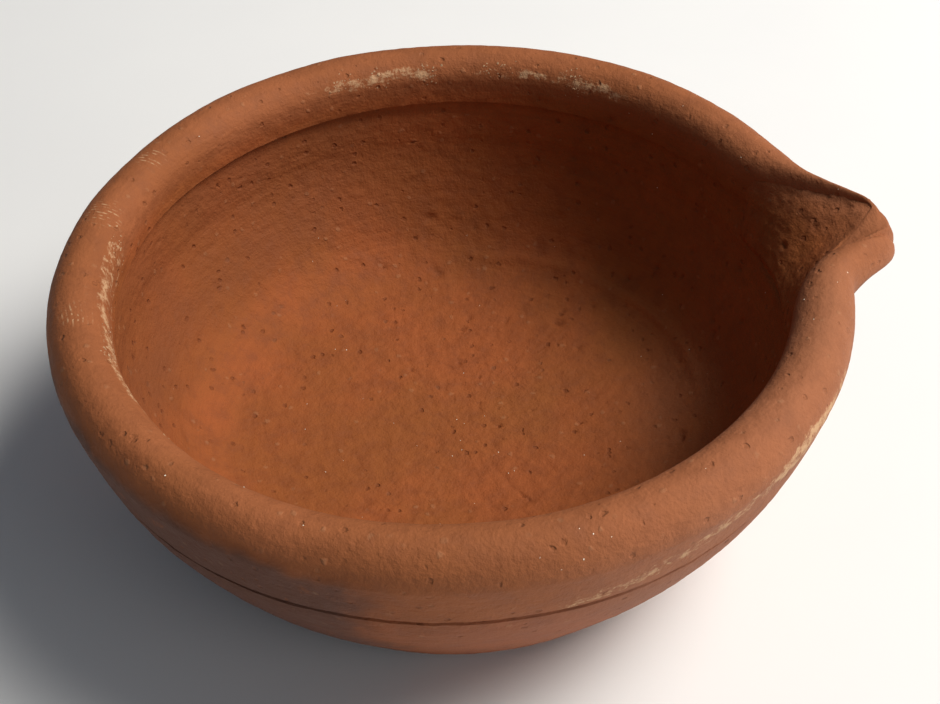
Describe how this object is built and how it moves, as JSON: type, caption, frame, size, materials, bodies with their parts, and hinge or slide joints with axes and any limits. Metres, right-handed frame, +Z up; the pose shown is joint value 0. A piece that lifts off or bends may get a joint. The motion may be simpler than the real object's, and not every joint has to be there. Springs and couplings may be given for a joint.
{
  "type": "diya oil lamp",
  "caption": "Hand-formed unglazed clay oil lamp: a round thick-walled bowl with a rolled rim, pinched at one side into a short spout that holds the wick.",
  "frame": {"origin": "centre of the round flat foot, on the surface that the lamp stands on", "axes": "+Z up through the bowl's mouth, +X from the bowl's middle towards the spout's tip, +Y across the bowl"},
  "size_m": [0.0858, 0.08, 0.0315],
  "materials": {
    "saucer_clay": "unglazed terracotta, gritty, darker and more purple below the groove",
    "wall_clay": "unglazed terracotta, wheel lines and pale scuffs",
    "rim_clay": "unglazed terracotta, wiped smooth, with pale scuffs and mica flecks",
    "bed_clay": "unglazed terracotta, rough where it was pressed in"
  },
  "bodies": {
    "root": {"saucer": "saucer_clay", "bowl_wall": "wall_clay", "rim_coil": "rim_clay", "spout_bed": "bed_clay"}
  },
  "joints": []
}
